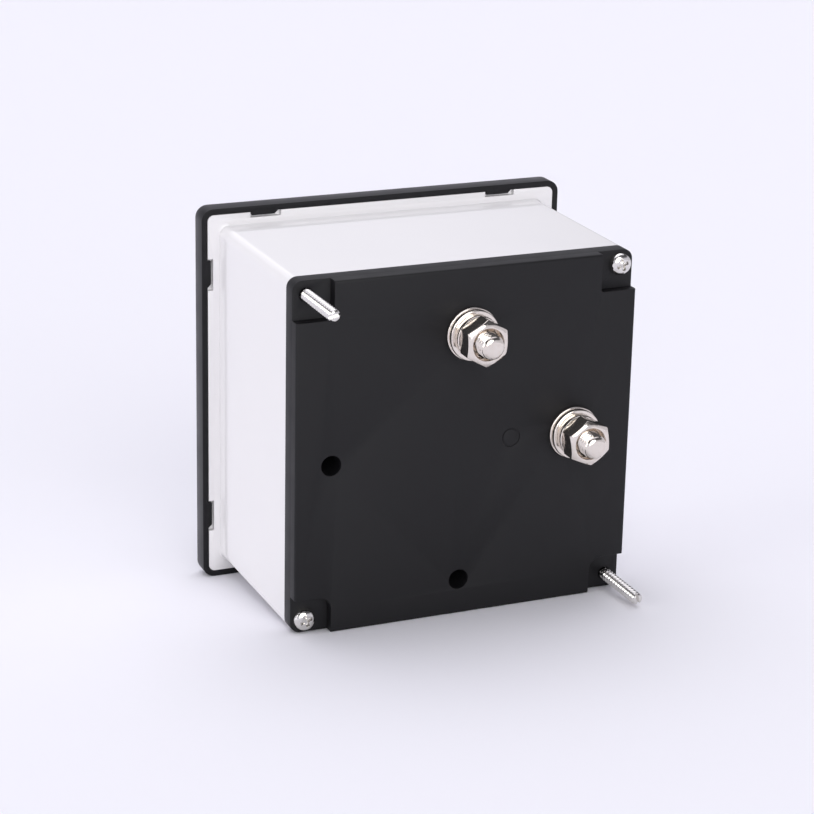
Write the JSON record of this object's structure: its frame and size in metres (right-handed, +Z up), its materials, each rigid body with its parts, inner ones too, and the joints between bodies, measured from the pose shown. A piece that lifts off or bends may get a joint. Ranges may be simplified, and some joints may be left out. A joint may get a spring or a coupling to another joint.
{
  "type": "analog panel meter",
  "caption": "Square panel-mounted pointer meter: black bezel, white box housing, black rear cover with threaded terminals and mounting studs, moving-coil movement inside.",
  "frame": {"origin": "centre of the plane behind the bezel that seats on the front of the panel", "axes": "+X is the width, to the right as the dial is read; +Y is the depth, from the dial towards the terminals; +Z is up"},
  "size_m": [0.096, 0.0745, 0.096],
  "materials": {
    "black_plastic": "satin moulded black phenolic",
    "cover_plastic": "satin moulded black plastic",
    "white_plastic": "glossy cream-white moulded plastic",
    "clear_glass": "clear flat pane",
    "nickel": "bright nickel plating",
    "steel": "turned steel",
    "brass": "turned brass",
    "aluminium": "pressed aluminium",
    "black_paint": "matt black paint",
    "dial_paint": "matt white paint",
    "copper": "copper",
    "magnet": "ground magnet alloy",
    "red_insulation": "lead insulation",
    "blue_insulation": "lead insulation"
  },
  "bodies": {
    "case": {"front_bezel": "black_plastic", "window_pane": "clear_glass", "housing": "white_plastic", "rear_cover": "cover_plastic", "cover_screw_upper": "nickel", "cover_screw_lower": "nickel", "mounting_stud_upper": "nickel", "mounting_stud_lower": "nickel", "dial_plate": "dial_paint", "dial_screws": "steel", "pointer_stops": "black_paint", "rear_hairspring": "brass", "front_jewel_screw": "brass", "rear_jewel_screw": "brass", "front_bridge": "aluminium", "bridge_pillars": "brass", "rear_bridge": "aluminium", "core_magnet": "magnet", "core_spacers": "brass", "yoke_ring": "steel", "movement_frame": "aluminium", "movement_screws": "steel", "shunt_bar": "copper", "shunt_lead": "red_insulation", "frame_lead": "blue_insulation", "terminal_stud_1": "nickel", "base_washer_1": "nickel", "flat_washer_1": "nickel", "spring_washer_1": "nickel", "terminal_nut_1": "nickel", "terminal_stud_2": "nickel", "base_washer_2": "nickel", "flat_washer_2": "nickel", "spring_washer_2": "nickel", "terminal_nut_2": "nickel"},
    "moving_element": {"pointer": "black_paint", "balance_weights": "brass", "front_pivot": "steel", "rear_pivot": "steel", "spring_collets": "brass", "coil_former": "aluminium", "moving_coil": "copper"},
    "zero_lever": {"zero_lever": "brass", "front_hairspring": "brass"},
    "zero_adjuster": {"zero_adjuster": "black_plastic"}
  },
  "joints": [
    {"name": "pointer_swing", "type": "hinge", "parent": "case", "child": "moving_element", "pos_m": [0.027, 0, -0.027], "axis": [0, 1, 0], "range_deg": [0, 90], "stiffness_Nm_per_rad": 0.00003},
    {"name": "zero_set", "type": "hinge", "parent": "case", "child": "zero_adjuster", "pos_m": [0.03549, 0, -0.03549], "axis": [0, 1, 0], "range_deg": [-30, 30]},
    {"name": "zero_shift", "type": "hinge", "parent": "case", "child": "zero_lever", "pos_m": [0.027, 0, -0.027], "axis": [0, 1, 0], "range_deg": [-4, 4]}
  ],
  "couplings": [
    {"joint": "zero_shift", "follows": "zero_set", "ratio": 0.11111}
  ]
}
